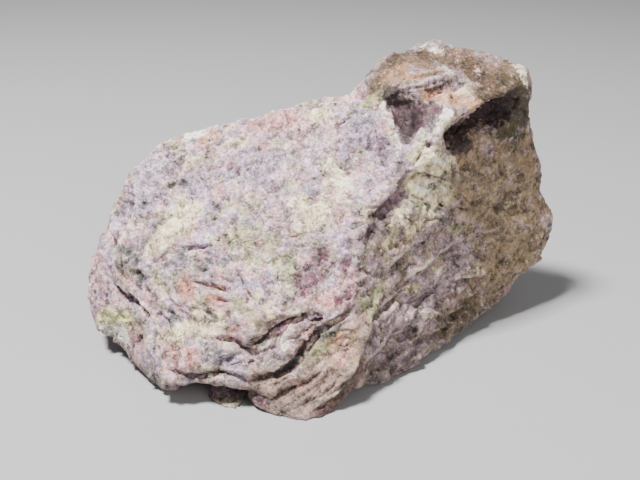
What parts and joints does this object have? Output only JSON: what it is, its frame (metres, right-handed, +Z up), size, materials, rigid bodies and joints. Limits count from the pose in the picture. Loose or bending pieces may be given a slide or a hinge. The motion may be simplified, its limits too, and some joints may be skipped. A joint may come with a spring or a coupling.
{
  "type": "rhyolite specimen",
  "caption": "Broken lump of flow-banded pinkish-grey rhyolite with a broad sloping face, layered lips, a steep brown flank and a tall brow. Rests on a surface.",
  "frame": {"origin": "middle of the stone's bounding box, on the surface that it rests on", "axes": "+Z up; the broad sloping face looks to -Y and up; the thin end points to -X and the tall end to +X"},
  "size_m": [0.1274, 0.0756, 0.0758],
  "materials": {
    "rhyolite": "rough, broken"
  },
  "bodies": {
    "root": {"stone": "rhyolite"}
  },
  "joints": []
}
